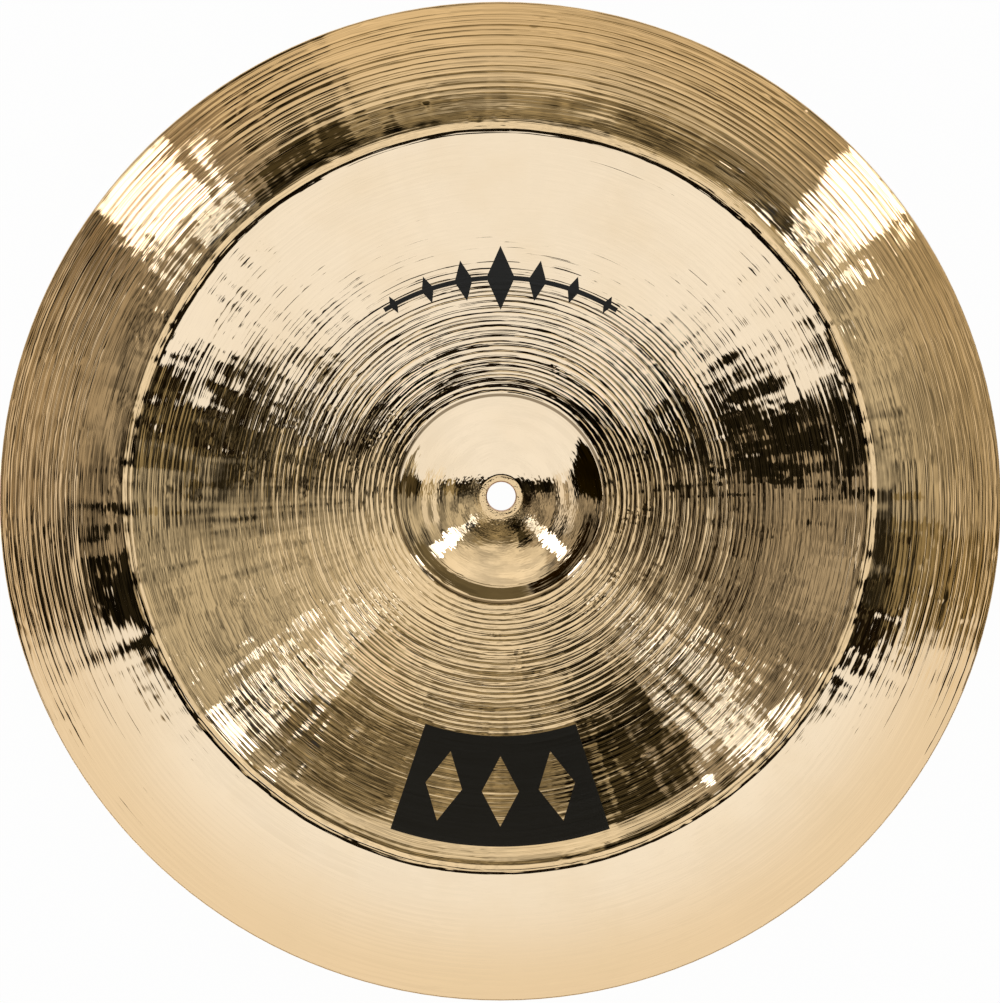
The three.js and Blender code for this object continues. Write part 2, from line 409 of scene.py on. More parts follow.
def filmOutline(low, high):
    _, bow, drop = meridian(disc["topSpacing"])
    near = [s for s in bow if low <= s[0][0] <= high]
    outline = []
    for rise, run in ((film["clearance"] + film["thickness"], near), (film["clearance"], near[::-1])):
        for (r, z), (nr, nz) in run:
            outline.append(((r + nr * rise, z + nz * rise - drop), (nr, nz), 1.0))
    return outline


def filmPatch(name, bearing, low, high, halfTurn):
    # the patch's steps fall on the disc's own, so that both surfaces stay parallel
    step = math.tau / disc["segments"]
    first = math.floor((bearing - halfTurn) / step) * step
    steps = math.ceil((bearing + halfTurn - first) / step)
    return revolve(name, filmOutline(low, high), step * steps, first, steps)


def prism(name, corners):
    block = bmesh.new()
    verts = [block.verts.new((x, y, film["cutterFoot"])) for x, y in corners]
    face = block.faces.new(verts)
    bmesh.ops.extrude_face_region(block, geom=[face])
    lid = [v for v in block.verts if v not in verts]
    bmesh.ops.translate(block, verts=lid, vec=(0, 0, film["cutterHeight"]))
    bmesh.ops.recalc_face_normals(block, faces=block.faces[:])
    mesh = bpy.data.meshes.new(name)
    block.to_mesh(mesh)
    block.free()
    piece = bpy.data.objects.new(name, mesh)
    scene.collection.objects.link(piece)
    return piece


def ringCorners(inner, outer, halfTurn, bearing):
    steps = film["cutterSteps"]
    turns = [bearing - halfTurn + 2 * halfTurn * i / steps for i in range(steps + 1)]
    return [(outer * math.cos(t), outer * math.sin(t)) for t in turns] + [
        (inner * math.cos(t), inner * math.sin(t)) for t in reversed(turns)
    ]


def lozengeCorners(radius, width, height, bearing):
    along = Vector((math.cos(bearing), math.sin(bearing)))
    across = Vector((-along.y, along.x))
    middle = along * radius
    return [tuple(middle + part) for part in (
        along * height / 2, across * width / 2, -along * height / 2, -across * width / 2
    )]


def cut(piece, tools, operation):
    for tool in tools:
        change = piece.modifiers.new("cut", "BOOLEAN")
        change.operation = operation
        change.solver = "EXACT"
        change.object = tool
        shown = piece.evaluated_get(bpy.context.evaluated_depsgraph_get())
        mesh = bpy.data.meshes.new_from_object(shown)
        piece.modifiers.clear()
        old = piece.data
        piece.data = mesh
        bpy.data.meshes.remove(old)
        bpy.data.objects.remove(tool)
    return piece


def finishPrint(piece, node):
    for layer in ("out", "side", "arc", "home"):
        if layer in piece.data.attributes:
            piece.data.attributes.remove(piece.data.attributes[layer])
    piece.data.set_sharp_from_angle(angle=math.radians(film["sharpAngle"]))
    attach(piece, "root")
    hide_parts(node)
    print(piece.name, len(piece.data.polygons), "faces")


width, height = upperPrint["lozenge"]
radius, bearing = upperPrint["radius"], upperPrint["bearing"]
halfTurn = upperPrint["span"] / radius / 2
half = upperPrint["ruleWidth"] / 2
drawn = prism("rule", ringCorners(radius - half, radius + half, halfTurn, bearing))
lozenges = [prism("lozenge", lozengeCorners(radius, width, height, bearing))]
for index, share in enumerate(upperPrint["sideShares"]):
    for direction in (-1, 1):
        place = bearing + direction * upperPrint["spacing"] * (index + 1) / radius
        lozenges.append(prism("lozenge", lozengeCorners(radius, width * share, height * share, place)))
drawn = cut(drawn, lozenges, "UNION")
reach = height * upperPrint["patchShare"]
upperInk = filmPatch("upperInk", bearing, radius - reach, radius + reach, halfTurn)
upperInk = cut(upperInk, [drawn], "INTERSECT")
finishPrint(upperInk, "upper_print")

width, height = lowerPrint["lozenge"]
outer, bearing = lowerPrint["outerRadius"], lowerPrint["bearing"]
inner = outer - lowerPrint["height"]
radius = (inner + outer) / 2
halfTurn = lowerPrint["span"] / radius / 2
drawn = prism("band", ringCorners(inner, outer, halfTurn, bearing))
lozenges = []
for place in (-1, 0, 1):
    turn = bearing + place * lowerPrint["spacing"] / radius
    lozenges.append(prism("lozenge", lozengeCorners(radius, width, height, turn)))
drawn = cut(drawn, lozenges, "DIFFERENCE")
margin = lowerPrint["patchMargin"]
lowerInk = filmPatch("lowerInk", bearing, inner - margin, outer + margin, halfTurn)
lowerInk = cut(lowerInk, [drawn], "INTERSECT")
finishPrint(lowerInk, "lower_print")


def ringCoordinates(tree):
    # the distance from the axis, and the direction round it as a unit vector
    place = addNode(tree, "ShaderNodeTexCoord", output="Object")
    flat = addNode(tree, "ShaderNodeVectorMath", {"operation": "MULTIPLY"}, {0: place, 1: (1, 1, 0)})
    radius = addNode(tree, "ShaderNodeVectorMath", {"operation": "LENGTH"}, {0: flat}, "Value")
    around = addNode(tree, "ShaderNodeVectorMath", {"operation": "NORMALIZE"}, {0: flat})
    return flat, radius, around


def ringNoise(tree, radius, around, pitch, turns, detail, seed):
    # noise that changes over pitch outwards, and over one part in turns of a radian round the axis
    steps = addNode(tree, "ShaderNodeMath", {"operation": "MULTIPLY"}, {0: radius, 1: 1 / pitch})
    up = addNode(tree, "ShaderNodeCombineXYZ", None, {"X": seed, "Y": 0.0, "Z": steps})
    both = addNode(tree, "ShaderNodeVectorMath", {"operation": "MULTIPLY_ADD"}, {
        0: around, 1: (turns, turns, turns), 2: up,
    })
    return addNode(tree, "ShaderNodeTexNoise", None, {
        "Vector": both, "Scale": 1.0, "Detail": detail, "Roughness": 0.55,
    })


cutRow = {
    "driftSpan": 2.6,  # cuts over which they drift
    "driftTurns": 0.4,
    "drift": 1.5,  # cuts by which they do
    "ownStep": 0.137,  # step in the noise from one cut to the next
    "depthTurns": 0.7,  # how much slower the depth changes than the lean
    "depthShares": (0.25, 1.6),  # the shallowest and the deepest cut, as shares of the mean one
}


def cutTilt(tree, radius, around, pitch, turns, bow, lean, seed):
    # how a row of cuts tips the metal outwards, from about -1 to 1: bow where each cut curves up to its sharp
    # crests, lean for a cut that lies askew over a stretch of its ring
    drift = ringNoise(tree, radius, around, cutRow["driftSpan"] * pitch, cutRow["driftTurns"], 1.0, seed)
    count = addNode(tree, "ShaderNodeMath", {"operation": "MULTIPLY"}, {0: drift, 1: cutRow["drift"]})
    count = addNode(tree, "ShaderNodeMath", {"operation": "MULTIPLY_ADD"}, {0: radius, 1: 1 / pitch, 2: count})
    number = addNode(tree, "ShaderNodeMath", {"operation": "FLOOR"}, {0: count})
    within = addNode(tree, "ShaderNodeMath", {"operation": "FRACT"}, {0: count})
    across = addNode(tree, "ShaderNodeMath", {"operation": "MULTIPLY_ADD"}, {0: within, 1: 2.0, 2: -1.0})
    own = ringNoise(tree, number, around, cutRow["ownStep"], turns, 2.0, seed + 3.0)
    askew = addNode(tree, "ShaderNodeMapRange", {"clamp": False}, {
        "Value": own, "From Min": 0.25, "From Max": 0.75, "To Min": -lean, "To Max": lean,
    })
    depth = ringNoise(tree, number, around, cutRow["ownStep"], turns * cutRow["depthTurns"], 1.0, seed + 8.0)
    least, most = cutRow["depthShares"]
    depth = addNode(tree, "ShaderNodeMapRange", None, {
        "Value": depth, "From Min": 0.36, "From Max": 0.64, "To Min": bow * least, "To Max": bow * most,
    })
    return addNode(tree, "ShaderNodeMath", {"operation": "MULTIPLY_ADD"}, {0: across, 1: depth, 2: askew})


# of two radii, something begins at the first and is in full at the second, and a third value is its share there
bronzeFinish = {
    # the flange's colour is a darker copy of the bow's: painted shade
    "bowColour": "#F3DFC1",
    "flangeShadeColour": "#E9CBA0",
    "flangeReach": (170 * mm, 226 * mm),
    # painted shade, laid in random clouds
    "cutShadeColour": "#E3C79C",  # where more light is lost between the crests
    "cloudWidth": 40 * mm,
    "cloudShare": 0.3,
    "rawColour": "#C79C7E",  # the drilled wall of the hole
    "wallReach": (7.1 * mm, 6.8 * mm),
    "rimReach": (228.0 * mm, 228.3 * mm),
    "edgeRoughness": 0.35,  # added on the hole's wall and the rim
    "roughness": (0.02, 0.06),
    # painted shade in the bell's foot crease, which dims the lamps' reflections there
    "footShadeColour": "#6B573A",
    "footRoughness": 0.1,
    "footRadius": 47.5 * mm,
    "footReach": (0.9 * mm, 0.5 * mm, 0.8),  # on both sides of that radius
    "anisotropy": 0.5,
    # rows of cuts: pitch, changes round a radian, share of the slope by their curve and by their lean
    "cuts": ((2.3 * mm, 1.6, 0.85, 0.25), (1.15 * mm, 8.0, 0.4, 0.2)),
    "ripple": (24.0, 34 * mm, 2.4),  # hammer marks, long outwards: turns, length and degrees sideways
    "rippleReach": (60 * mm, 110 * mm, 0.15),  # less on the bell, which was pressed in a die
    "flangeStill": (185 * mm, 205 * mm, 0.4),  # less on the flange
    "rootLean": 4.5,  # degrees by which the flange's root is sharper at the front, fading to none at the back
    "rootInside": (171.4 * mm, 174 * mm),
    "rootOutside": (196 * mm, 176 * mm),
    "rootBack": (-0.2, 0.8),  # from the front at -1 to the back at 1
    "chatter": (1.0 * mm, 9.0, 1.8),  # what the tool left along each cut: pitch, turns and degrees sideways
    "scratchPitch": 0.6 * mm,
    "scratchTurns": 13.0,
    "scratchDepth": 0.03 * mm,
    "workedWidth": 26 * mm,
    "workedShare": 0.25,  # how strong the scratches are where the hammer didn't raise the metal
    "peenWidth": 2.6 * mm,
    "peenTurns": 30.0,
    "peenDepth": 0.12 * mm,
    "peenPatch": 19 * mm,
    "peenReach": (50 * mm, 62 * mm),
}


def polishedBellBronze():
    # cast B20 bell bronze, hammered, turned and buffed: a pale gold mirror whose lathe cuts break every
    # reflection into thin arcs, and whose hammer marks ripple it
    finish = bronzeFinish
    material = bpy.data.materials.new("polishedBellBronze")
    material.use_nodes = True
    tree = material.node_tree
    tree.nodes.clear()
    flat, _, around = ringCoordinates(tree)
    radius = addNode(tree, "ShaderNodeAttribute", {"attribute_name": "home"}, output="Fac")
    steep = addNode(tree, "ShaderNodeAttribute", {"attribute_name": "cutSlope"}, output="Fac")

    # lathe cuts finer than the modelled ones, which tip the metal inwards and outwards
    tilt = 0.0
    for index, (pitch, turns, bow, lean) in enumerate(finish["cuts"]):
        row = cutTilt(tree, radius, around, pitch, turns, bow, lean, 5.0 + 20.0 * index)
        tilt = addNode(tree, "ShaderNodeMath", {"operation": "ADD"}, {0: row, 1: tilt})
    tilt = addNode(tree, "ShaderNodeMath", {"operation": "MULTIPLY"}, {0: tilt, 1: steep})

    # the flange's root, which the hammer drove sharper at the front, as the crease lies towards the back
    begin, full = finish["rootInside"]
    inner = addNode(tree, "ShaderNodeMapRange", {"interpolation_type": "SMOOTHSTEP"}, {
        "Value": radius, "From Min": begin, "From Max": full,
    })
    begin, full = finish["rootOutside"]
    past = addNode(tree, "ShaderNodeMapRange", {"interpolation_type": "SMOOTHSTEP"}, {
        "Value": radius, "From Min": begin, "From Max": full,
    })
    root = addNode(tree, "ShaderNodeMath", {"operation": "MULTIPLY"}, {0: inner, 1: past})
    back = addNode(tree, "ShaderNodeSeparateXYZ", None, {0: around}, "Y")
    front, gone = finish["rootBack"]
    share = addNode(tree, "ShaderNodeMapRange", None, {
        "Value": back, "From Min": front, "From Max": gone, "To Min": 1.0, "To Max": 0.0,
    })
    root = addNode(tree, "ShaderNodeMath", {"operation": "MULTIPLY"}, {0: root, 1: share})
    sharper = -math.tan(math.radians(finish["rootLean"]))
    tilt = addNode(tree, "ShaderNodeMath", {"operation": "MULTIPLY_ADD"}, {0: root, 1: sharper, 2: tilt})

    # hammer marks that the lathe drew out, which tip it to the sides
    turns, length, degrees = finish["ripple"]
    ripple = ringNoise(tree, radius, around, length, turns, 1.0, 11.0)
    begin, full, least = finish["rippleReach"]
    outer = addNode(tree, "ShaderNodeMapRange", None, {
        "Value": radius, "From Min": begin, "From Max": full, "To Min": least, "To Max": 1.0,
    })
    begin, full, least = finish["flangeStill"]
    still = addNode(tree, "ShaderNodeMapRange", None, {
        "Value": radius, "From Min": begin, "From Max": full, "To Min": 1.0, "To Max": least,
    })
    slope = math.tan(math.radians(degrees))
    ripple = addNode(tree, "ShaderNodeMapRange", {"clamp": False}, {
        "Value": ripple, "From Min": 0.25, "From Max": 0.75, "To Min": -slope, "To Max": slope,
    })
    ripple = addNode(tree, "ShaderNodeMath", {"operation": "MULTIPLY"}, {0: ripple, 1: outer})
    pitch, turns, degrees = finish["chatter"]
    slope = math.tan(math.radians(degrees))
    chatter = ringNoise(tree, radius, around, pitch, turns, 1.0, 17.0)
    chatter = addNode(tree, "ShaderNodeMapRange", {"clamp": False}, {
        "Value": chatter, "From Min": 0.25, "From Max": 0.75, "To Min": -slope, "To Max": slope,
    })
    ripple = addNode(tree, "ShaderNodeMath", {"operation": "ADD"}, {0: ripple, 1: chatter})
    ripple = addNode(tree, "ShaderNodeMath", {"operation": "MULTIPLY"}, {0: ripple, 1: still})

    # short scratches along the cuts, most of them where the hammer raised the metal
    scratch = ringNoise(tree, radius, around, finish["scratchPitch"], finish["scratchTurns"], 0.0, 7.0)
    worked = addNode(tree, "ShaderNodeTexNoise", None, {
        "Vector": flat, "Scale": 1 / finish["workedWidth"], "Detail": 2.0,
    })
    worked = addNode(tree, "ShaderNodeMapRange", {"interpolation_type": "SMOOTHSTEP"}, {
        "Value": worked, "From Min": 0.42, "From Max": 0.6, "To Min": finish["workedShare"], "To Max": 1.0,
    })
    level = addNode(tree, "ShaderNodeMath", {"operation": "SUBTRACT"}, {0: scratch, 1: 0.5})
    scratch = addNode(tree, "ShaderNodeMath", {"operation": "MULTIPLY"}, {0: scratch, 1: worked})
    level = addNode(tree, "ShaderNodeMath", {"operation": "MULTIPLY"}, {0: level, 1: worked})
    height = addNode(tree, "ShaderNodeMath", {"operation": "MULTIPLY"}, {0: level, 1: finish["scratchDepth"]})

    # small peening marks in patches
    peen = ringNoise(tree, radius, around, finish["peenWidth"], finish["peenTurns"], 0.0, 4.0)
    patch = addNode(tree, "ShaderNodeTexNoise", None, {
        "Vector": flat, "Scale": 1 / finish["peenPatch"], "Detail": 1.0,
    })
    patch = addNode(tree, "ShaderNodeMapRange", {"interpolation_type": "SMOOTHSTEP"}, {
        "Value": patch, "From Min": 0.55, "From Max": 0.66, "To Min": 0.0, "To Max": 1.0,
    })
    begin, full = finish["peenReach"]
    outside = addNode(tree, "ShaderNodeMapRange", None, {"Value": radius, "From Min": begin, "From Max": full})
    patch = addNode(tree, "ShaderNodeMath", {"operation": "MULTIPLY"}, {0: patch, 1: outside})
    peen = addNode(tree, "ShaderNodeMath", {"operation": "SUBTRACT"}, {0: peen, 1: 0.5})
    peen = addNode(tree, "ShaderNodeMath", {"operation": "MULTIPLY"}, {0: peen, 1: patch})
    height = addNode(tree, "ShaderNodeMath", {"operation": "MULTIPLY_ADD"}, {
        0: peen, 1: finish["peenDepth"], 2: height,
    })
    bump = addNode(tree, "ShaderNodeBump", None, {"Strength": 1.0, "Distance": 1.0, "Height": height})
    sideways = addNode(tree, "ShaderNodeVectorMath", {"operation": "CROSS_PRODUCT"}, {0: (0, 0, 1), 1: around})
    tipped = addNode(tree, "ShaderNodeVectorMath", {"operation": "SCALE"}, {0: around, "Scale": tilt})
    swayed = addNode(tree, "ShaderNodeVectorMath", {"operation": "SCALE"}, {0: sideways, "Scale": ripple})
    facing = addNode(tree, "ShaderNodeVectorMath", {"operation": "ADD"}, {0: bump, 1: tipped})
    facing = addNode(tree, "ShaderNodeVectorMath", {"operation": "ADD"}, {0: facing, 1: swayed})
    facing = addNode(tree, "ShaderNodeVectorMath", {"operation": "NORMALIZE"}, {0: facing})

    # painted shade: the flange is painted a deeper, darker gold than the bow, a shaded copy of the same bronze,
    # and random clouds are painted a deeper gold still, for the light lost between the cuts' crests
    begin, full = finish["flangeReach"]
    flangeShadeShare = addNode(tree, "ShaderNodeMapRange", {"interpolation_type": "SMOOTHSTEP"}, {
        "Value": radius, "From Min": begin, "From Max": full,
    })
    colour = addNode(tree, "ShaderNodeMix", {"data_type": "RGBA"}, {
        0: flangeShadeShare, 6: linear(finish["bowColour"]), 7: linear(finish["flangeShadeColour"]),
    }, 2)
    # painted shade in random clouds, for the light lost between the crests
    cloud = addNode(tree, "ShaderNodeTexNoise", None, {
        "Vector": flat, "Scale": 1 / finish["cloudWidth"], "Detail": 3.0,
    })
    cutShadeShare = addNode(tree, "ShaderNodeMapRange", None, {
        "Value": cloud, "From Min": 0.45, "From Max": 0.8, "To Min": 0.0, "To Max": finish["cloudShare"],
    })
    colour = addNode(tree, "ShaderNodeMix", {"data_type": "RGBA"}, {
        0: cutShadeShare, 6: colour, 7: linear(finish["cutShadeColour"]),
    }, 2)
    begin, full = finish["wallReach"]
    wall = addNode(tree, "ShaderNodeMapRange", {"interpolation_type": "SMOOTHSTEP"}, {
        "Value": radius, "From Min": begin, "From Max": full,
    })
    colour = addNode(tree, "ShaderNodeMix", {"data_type": "RGBA"}, {
        0: wall, 6: colour, 7: linear(finish["rawColour"]),
    }, 2)
    # painted shade: the bell's foot is painted a darker colour, which dims the lamps' reflections in its crease,
    # and it is given a satin roughness
    foot = addNode(tree, "ShaderNodeMath", {"operation": "SUBTRACT"}, {0: radius, 1: finish["footRadius"]})
    foot = addNode(tree, "ShaderNodeMath", {"operation": "ABSOLUTE"}, {0: foot})
    begin, full, most = finish["footReach"]
    foot = addNode(tree, "ShaderNodeMapRange", {"interpolation_type": "SMOOTHSTEP"}, {
        "Value": foot, "From Min": begin, "From Max": full, "To Min": 0.0, "To Max": most,
    })
    colour = addNode(tree, "ShaderNodeMix", {"data_type": "RGBA"}, {
        0: foot, 6: colour, 7: linear(finish["footShadeColour"]),
    }, 2)
    low, high = finish["roughness"]
    rough = addNode(tree, "ShaderNodeMapRange", None, {
        "Value": scratch, "From Min": 0.1, "From Max": 0.7, "To Min": low, "To Max": high,
    })
    begin, full = finish["rimReach"]
    rim = addNode(tree, "ShaderNodeMapRange", None, {"Value": radius, "From Min": begin, "From Max": full})
    for edge in (wall, rim):
        rough = addNode(tree, "ShaderNodeMath", {"operation": "MULTIPLY_ADD"}, {
            0: edge, 1: finish["edgeRoughness"], 2: rough,
        })
    rough = addNode(tree, "ShaderNodeMath", {"operation": "MULTIPLY_ADD"}, {
        0: foot, 1: finish["footRoughness"], 2: rough,
    })
    tangent = addNode(tree, "ShaderNodeTangent", {"direction_type": "RADIAL", "axis": "Z"})
    shader = addNode(tree, "ShaderNodeBsdfPrincipled", None, {
        "Base Color": colour,
        "Metallic": 1.0,
        "Roughness": rough,
        "Anisotropic": finish["anisotropy"],
        "Anisotropic Rotation": 0.25,
        "Normal": facing,
        "Tangent": tangent,
    })
    addNode(tree, "ShaderNodeOutputMaterial", None, {"Surface": shader})
    return material


inkFinish = {
    "colours": ("#090908", "#10100D"),
    "roughness": (0.34, 0.5),
    "cutPitch": 0.9 * mm,
    "cutDepth": 0.08 * mm,
    "specular": 0.3,
}


def screenPrintInk():
    # black solvent ink, screen printed: it dulls the mirror but still shows the lathe cuts under it
    material = bpy.data.materials.new("screenPrintInk")
    material.use_nodes = True
    tree = material.node_tree
    tree.nodes.clear()
    _, radius, around = ringCoordinates(tree)
    cuts = ringNoise(tree, radius, around, inkFinish["cutPitch"], 2.0, 1.0, 2.0)
    crest, bottom = (linear(hexColour) for hexColour in inkFinish["colours"])
    colour = addNode(tree, "ShaderNodeMix", {"data_type": "RGBA"}, {0: cuts, 6: crest, 7: bottom}, 2)
    low, high = inkFinish["roughness"]
    rough = addNode(tree, "ShaderNodeMapRange", None, {
        "Value": cuts, "From Min": 0.3, "From Max": 0.7, "To Min": low, "To Max": high,
    })
    height = addNode(tree, "ShaderNodeMath", {"operation": "MULTIPLY"}, {0: cuts, 1: inkFinish["cutDepth"]})
    bump = addNode(tree, "ShaderNodeBump", None, {"Strength": 1.0, "Distance": 1.0, "Height": height})
    shader = addNode(tree, "ShaderNodeBsdfPrincipled", None, {
        "Base Color": colour,
        "Metallic": 0.0,
        "Roughness": rough,
        "Normal": bump,
        "Specular IOR Level": inkFinish["specular"],
    })
    addNode(tree, "ShaderNodeOutputMaterial", None, {"Surface": shader})
    return material


bronzeDisc.data.materials.clear()
bronzeDisc.data.materials.append(polishedBellBronze())
ink = screenPrintInk()
for piece in (upperInk, lowerInk):
    piece.data.materials.clear()
    piece.data.materials.append(ink)
print("materials")


studio = {
    "cameraDistance": 4.5,
    "cameraTilt": (0.75, 4.0),  # degrees by which it stands off the axis, to the left and towards the front
    "aim": (-0.32 * mm, -1.1 * mm, 23 * mm),
    "sensor": 36.0,
    "frameWidth": 456.43 * mm,
    "viewEnd": 100,
    "floorSize": 12.0,
    "paperColour": "#E7E7E7",
    "floorShare": 0.975,  # how much of the floor that the camera sees is plain white
    "roomColour": "#99907B",
    "roomUneven": 0.85,
    "waver": (1.6, 9),  # degrees by which the edges in the room waver, and over which they do
    "bandHeight": 6,  # degrees, of the bands in which the light is uneven
    "bandTurns": 2,
    "bandRange": (-1.0, 1.2),
    "darkest": 0.05,  # the least light left of a card's own
}
# What stands round the cymbal, each later one in front of the ones before. The sky is a chart in degrees
# from straight up, rightwards and towards the back: middle, half size, turn, softness, colour, strength and
# how uneven the light on it is. A ring has its bearing from the front and its distance from straight up instead.
cards = {
    "rightSide": ("box", (104, -12), (88, 40), 0, 0.04, "#857A67", 1.0, 1.0),
    "frontFloor": ("box", (0, -115), (200, 44), 0, 0.06, "#756A55", 1.0, 0.4),
    "frontPanel": ("box", (-4, -51.5), (40, 18), 0, 0.1, "#DACFB8", 1.0, 0.25),
    "frontGlow": ("box", (-4, -57), (38, 12), 0, 0.4, "#EBE0CA", 1.0, 0.2),
    "backPanel": ("box", (-2, 110), (65, 93), 0, 0.012, "#FFFFFF", 1.0, 0.03),
    "farFlag": ("box", (93, 45), (31, 45), -16, 0.04, "#130D00", 1.0, 0.5),
    "opening": ("round", (0, 2), (17, 16), 0, 0.1, "#9A8D72", 1.0, 0.6),
    "overhead": ("round", (-1, -3.4), (12, 10.4), 0, 0.15, "#EDE2CC", 1.0, 0.15),
    "openingEdge": ("box", (0, 11.9), (17, 5.5), 0, 0.12, "#17120A", 1.0, 0.8),
    "openingTop": ("round", (0.7, 14.3), (9.6, 5.3), 0, 0.08, "#17120A", 1.0, 0.8),
    "leftFlag": ("box", (-48.5, 12), (27.5, 4.8), 0, 0.12, "#766A4D", 1.0, 0.9),
    "leftBlack": ("box", (-28, 15), (7, 2.6), 0, 0.2, "#241C10", 1.0, 0.7),
    "leftFar": ("box", (-71, 17), (6.5, 9), 14, 0.1, "#4A4029", 1.0, 0.9),
    "rightFlag": ("box", (27.7, 11.2), (12.2, 4.5), 0, 0.12, "#1E1A10", 1.0, 0.7),
    "rightLow": ("box", (18, 1.5), (6, 5.5), -10, 0.4, "#2A2216", 1.0, 0.9),
    "frontShade": ("box", (-4, -22), (17, 8.5), 0, 0.3, "#84775A", 1.0, 0.8),
    "boom": ("box", (14.5, -22), (13, 4.5), -61, 0.3, "#2E2819", 1.0, 1.3),
    "leftArc": ("ring", (-95, 51), (24, 2), 0, 0.25, "#F2E8D4", 1.0, 0.1),
    "leftOuterArc": ("ring", (-93, 59), (22, 2), 0, 0.25, "#E8DDC7", 1.0, 0.1),
    "rightArc": ("ring", (90, 48), (26, 2), 0, 0.25, "#F2E9DA", 1.0, 0.1),
    "rightOuterArc": ("ring", (92, 56), (24, 2), 0, 0.25, "#F2E9DA", 1.0, 0.1),
    "lowOlive": ("ring", (-24, 72), (42, 4.8), 0, 0.12, "#665C43", 1.0, 0.2),
    "lowBlack": ("ring", (50, 72), (31, 4.2), 0, 0.15, "#1A0F00", 1.0, 0.3),
    "leftLampEnd": ("box", (-24.1, -17.1), (7.5, 2.9), 37.6, 0.12, "#FFFDF8", 0.8, 1.5),
    "rightLampEnd": ("box", (24.2, -16.6), (7.5, 2.9), -41, 0.12, "#FFFDF8", 0.8, 1.5),
    "leftLamp": ("box", (-42.2, -30.9), (12.7, 4.8), 38.4, 0.1, "#FFFFFF", 3.2, 0.3),
    "rightLamp": ("box", (41.4, -31.9), (12.7, 4.8), -42, 0.1, "#FFFFFF", 3.2, 0.3),
}


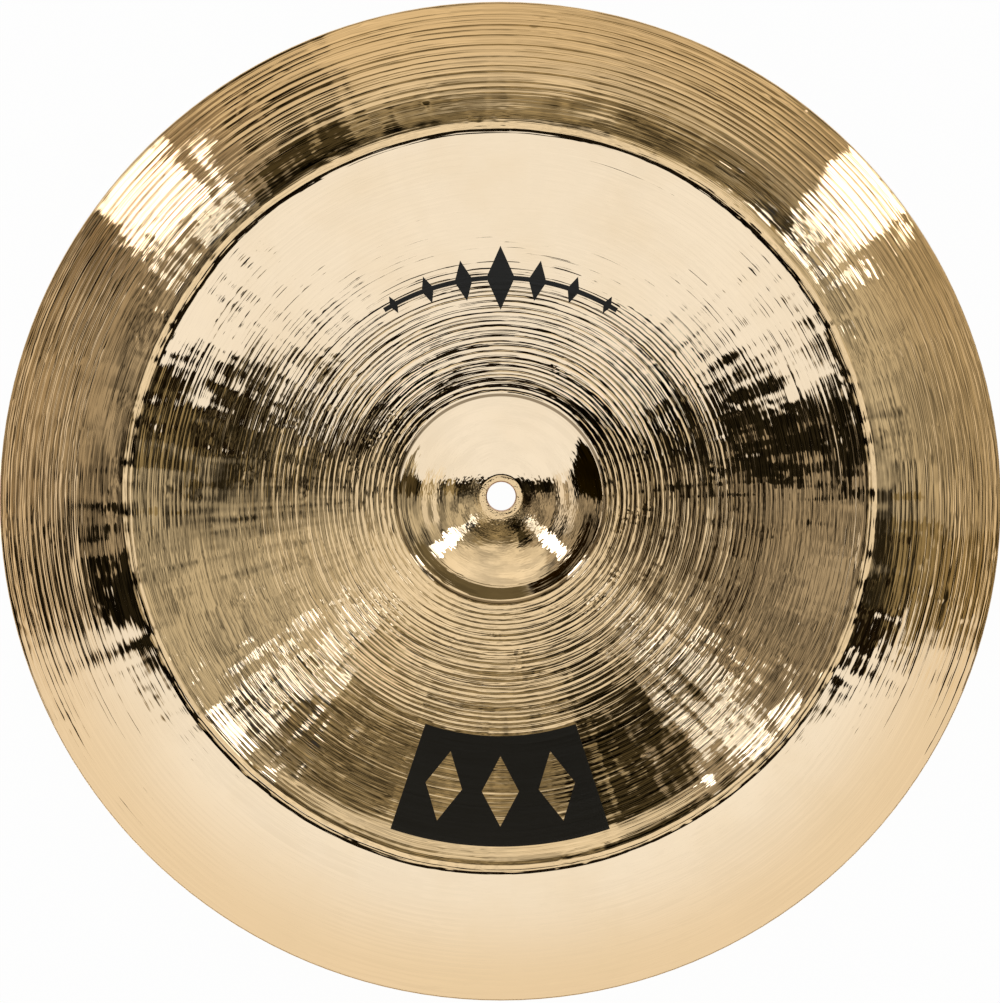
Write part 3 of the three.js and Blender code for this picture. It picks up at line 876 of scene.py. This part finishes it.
def buildWorld():
    world = bpy.data.worlds.new("studioLight")
    scene.world = world
    world.use_nodes = True
    tree = world.node_tree
    tree.nodes.clear()
    look = addNode(tree, "ShaderNodeTexCoord", output="Generated")
    unit = addNode(tree, "ShaderNodeVectorMath", {"operation": "NORMALIZE"}, {0: look})
    height = addNode(tree, "ShaderNodeSeparateXYZ", None, {0: unit}, "Z")
    fromUp = addNode(tree, "ShaderNodeMath", {"operation": "ARCCOSINE"}, {0: height})
    fromUp = addNode(tree, "ShaderNodeMath", {"operation": "DEGREES"}, {0: fromUp})
    flat = addNode(tree, "ShaderNodeVectorMath", {"operation": "MULTIPLY"}, {0: unit, 1: (1, 1, 0)})
    around = addNode(tree, "ShaderNodeVectorMath", {"operation": "NORMALIZE"}, {0: flat})
    chart = addNode(tree, "ShaderNodeVectorMath", {"operation": "SCALE"}, {0: around, "Scale": fromUp})
    degrees, width = studio["waver"]
    stir = addNode(tree, "ShaderNodeTexNoise", None, {
        "Vector": chart, "Scale": 1 / width, "Detail": 2.0,
    }, "Color")
    stir = addNode(tree, "ShaderNodeVectorMath", {"operation": "SUBTRACT"}, {0: stir, 1: (0.5, 0.5, 0.5)})
    chart = addNode(tree, "ShaderNodeVectorMath", {"operation": "MULTIPLY_ADD"}, {
        0: stir, 1: (degrees, degrees, 0), 2: chart,
    })
    bands = addNode(tree, "ShaderNodeMath", {"operation": "MULTIPLY"}, {0: fromUp, 1: 1 / studio["bandHeight"]})
    bands = addNode(tree, "ShaderNodeCombineXYZ", None, {"Z": bands})
    bands = addNode(tree, "ShaderNodeVectorMath", {"operation": "MULTIPLY_ADD"}, {
        0: around, 1: (studio["bandTurns"],) * 3, 2: bands,
    })
    patchy = addNode(tree, "ShaderNodeTexNoise", None, {"Vector": bands, "Scale": 1.0, "Detail": 2.0})
    low, high = studio["bandRange"]
    patchy = addNode(tree, "ShaderNodeMapRange", None, {
        "Value": patchy, "From Min": 0.37, "From Max": 0.63, "To Min": low, "To Max": high,
    })
    parts = addNode(tree, "ShaderNodeSeparateXYZ", None, {0: chart}).node.outputs
    front = addNode(tree, "ShaderNodeMath", {"operation": "MULTIPLY"}, {0: parts["Y"], 1: -1.0})
    bearing = addNode(tree, "ShaderNodeMath", {"operation": "ARCTAN2"}, {0: parts["X"], 1: front})
    bearing = addNode(tree, "ShaderNodeMath", {"operation": "DEGREES"}, {0: bearing})
    reached = addNode(tree, "ShaderNodeVectorMath", {"operation": "LENGTH"}, {0: chart}, "Value")
    rings = addNode(tree, "ShaderNodeCombineXYZ", None, {"X": bearing, "Y": reached})
    colour = addNode(tree, "ShaderNodeRGB")
    colour.default_value = linear(studio["roomColour"])
    light = addNode(tree, "ShaderNodeMath", {"operation": "MULTIPLY_ADD"}, {
        0: patchy, 1: studio["roomUneven"], 2: 1.0,
    })
    colour = addNode(tree, "ShaderNodeVectorMath", {"operation": "SCALE"}, {0: colour, "Scale": light})
    for shape, middle, half, turn, softness, hexColour, strength, uneven in cards.values():
        local = addNode(tree, "ShaderNodeMapping", {"vector_type": "TEXTURE"}, {
            "Vector": rings if shape == "ring" else chart,
            "Location": (*middle, 0),
            "Rotation": (0, 0, math.radians(turn)),
            "Scale": (*half, 1),
        })
        if shape == "round":
            reach = addNode(tree, "ShaderNodeVectorMath", {"operation": "LENGTH"}, {0: local}, "Value")
        else:
            sides = addNode(tree, "ShaderNodeVectorMath", {"operation": "ABSOLUTE"}, {0: local})
            sides = addNode(tree, "ShaderNodeSeparateXYZ", None, {0: sides})
            reach = addNode(tree, "ShaderNodeMath", {"operation": "MAXIMUM"}, {
                0: sides, 1: sides.node.outputs["Y"],
            })
        mask = addNode(tree, "ShaderNodeMapRange", {"interpolation_type": "SMOOTHSTEP"}, {
            "Value": reach, "From Min": 1 + softness, "From Max": 1 - softness,
        })
        shade = tuple(c * strength for c in linear(hexColour)[:3])
        light = addNode(tree, "ShaderNodeMath", {"operation": "MULTIPLY_ADD"}, {0: patchy, 1: uneven, 2: 1.0})
        light = addNode(tree, "ShaderNodeMath", {"operation": "MAXIMUM"}, {0: light, 1: studio["darkest"]})
        shade = addNode(tree, "ShaderNodeVectorMath", {"operation": "SCALE"}, {0: shade, "Scale": light})
        colour = addNode(tree, "ShaderNodeMix", {"data_type": "RGBA"}, {0: mask, 6: colour, 7: shade}, 2)
    seen = addNode(tree, "ShaderNodeLightPath", output="Is Camera Ray")
    white = addNode(tree, "ShaderNodeMix", {"data_type": "RGBA"}, {0: seen, 6: colour, 7: (1, 1, 1, 1)}, 2)
    background = addNode(tree, "ShaderNodeBackground", None, {"Color": white, "Strength": 1.0})
    addNode(tree, "ShaderNodeOutputWorld", None, {"Surface": background})


def buildFloor():
    sheet = bmesh.new()
    bmesh.ops.create_grid(sheet, x_segments=1, y_segments=1, size=studio["floorSize"] / 2)
    mesh = bpy.data.meshes.new("studioFloor")
    sheet.to_mesh(mesh)
    sheet.free()
    floor = bpy.data.objects.new("studioFloor", mesh)
    scene.collection.objects.link(floor)
    material = bpy.data.materials.new("whitePaperSweep")
    material.use_nodes = True
    tree = material.node_tree
    tree.nodes.clear()
    path = addNode(tree, "ShaderNodeLightPath").node
    seen = addNode(tree, "ShaderNodeMath", {"operation": "MAXIMUM"}, {
        0: path.outputs["Is Camera Ray"], 1: path.outputs["Is Glossy Ray"],
    })
    seen = addNode(tree, "ShaderNodeMath", {"operation": "MAXIMUM"}, {
        0: seen, 1: path.outputs["Is Transmission Ray"],
    })
    share = addNode(tree, "ShaderNodeMath", {"operation": "MULTIPLY"}, {0: seen, 1: studio["floorShare"]})
    paper = addNode(tree, "ShaderNodeBsdfDiffuse", None, {"Color": linear(studio["paperColour"])})
    glow = addNode(tree, "ShaderNodeEmission", None, {"Color": (1, 1, 1, 1), "Strength": 1.0})
    mixed = addNode(tree, "ShaderNodeMixShader", None, {0: share, 1: paper, 2: glow})
    addNode(tree, "ShaderNodeOutputMaterial", None, {"Surface": mixed})
    floor.data.materials.append(material)


def buildCamera():
    left, front = (math.radians(part) for part in studio["cameraTilt"])
    turn = Matrix.Rotation(-left, 4, "Y") @ Matrix.Rotation(front, 4, "X")
    away = turn @ Vector((0, 0, studio["cameraDistance"]))
    camera = bpy.data.cameras.new("camera")
    camera.sensor_fit = "HORIZONTAL"
    camera.sensor_width = studio["sensor"]
    camera.lens = studio["sensor"] * studio["cameraDistance"] / studio["frameWidth"]
    camera.clip_end = studio["viewEnd"]
    eye = bpy.data.objects.new("camera", camera)
    scene.collection.objects.link(eye)
    eye.matrix_world = Matrix.Translation(Vector(studio["aim"]) + away) @ turn
    scene.camera = eye


buildWorld()
buildFloor()
buildCamera()
print("studio")

bpy.context.view_layer.update()
